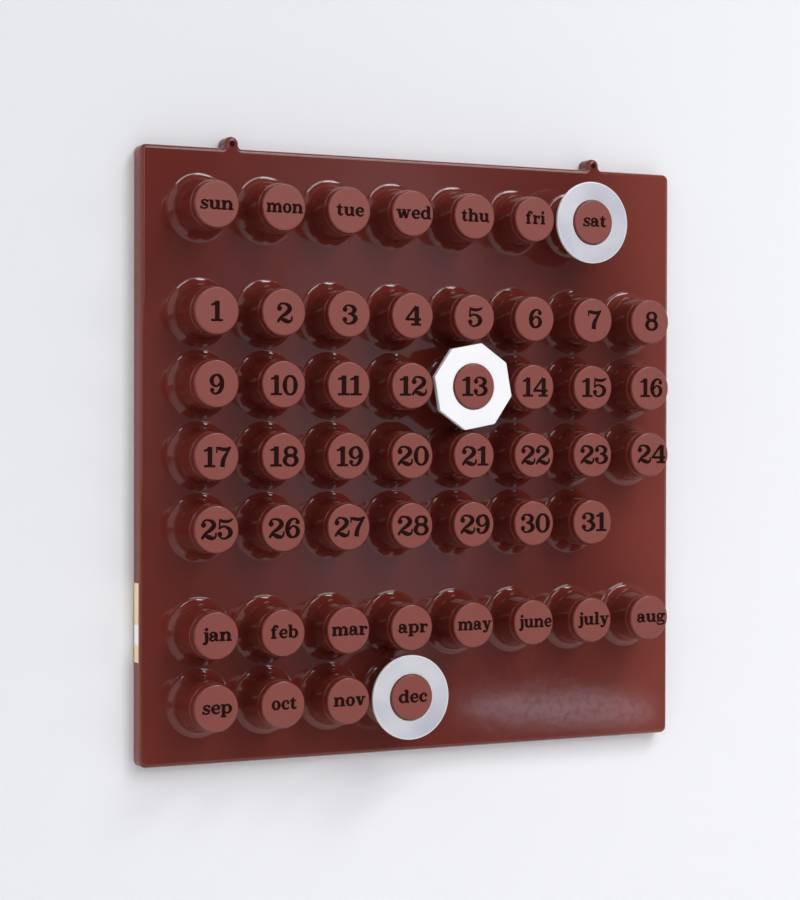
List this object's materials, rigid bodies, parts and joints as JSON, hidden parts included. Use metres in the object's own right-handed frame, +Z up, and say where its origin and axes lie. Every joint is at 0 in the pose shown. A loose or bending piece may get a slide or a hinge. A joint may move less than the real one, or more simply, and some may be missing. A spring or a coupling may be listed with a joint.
{
  "type": "perpetual wall calendar",
  "caption": "Wall-hung perpetual calendar: a shallow moulded tray with rows of round pegs for weekday, date and month, and marker rings that hang on the pegs of the day shown.",
  "frame": {"origin": "midway between the two hanging holes, in the plane of the tray's front face", "axes": "+Z up, +X to the right seen from the front, +Y into the wall"},
  "size_m": [0.3992, 0.0435, 0.4074],
  "materials": {
    "moulding": "glossy red-brown styrene",
    "milky_ring": "milky translucent plastic, smooth",
    "white_ring": "opaque white plastic, smooth",
    "label": "cream and gold paper strip, bare"
  },
  "bodies": {
    "board": {"panel_tray": "moulding", "weekday_pegs": "moulding", "date_pegs": "moulding", "month_pegs": "moulding", "side_label": "label"},
    "weekday_ring": {"weekday_ring": "milky_ring"},
    "date_ring": {"date_ring": "white_ring"},
    "month_ring": {"month_ring": "milky_ring"}
  },
  "joints": [
    {"name": "weekday_ring_slide", "type": "slide", "parent": "board", "child": "weekday_ring", "axis": [0, -1, 0], "range_m": [0, 0.03]},
    {"name": "date_ring_slide", "type": "slide", "parent": "board", "child": "date_ring", "axis": [0, -1, 0], "range_m": [0, 0.03]},
    {"name": "month_ring_slide", "type": "slide", "parent": "board", "child": "month_ring", "axis": [0, -1, 0], "range_m": [0, 0.03]}
  ]
}
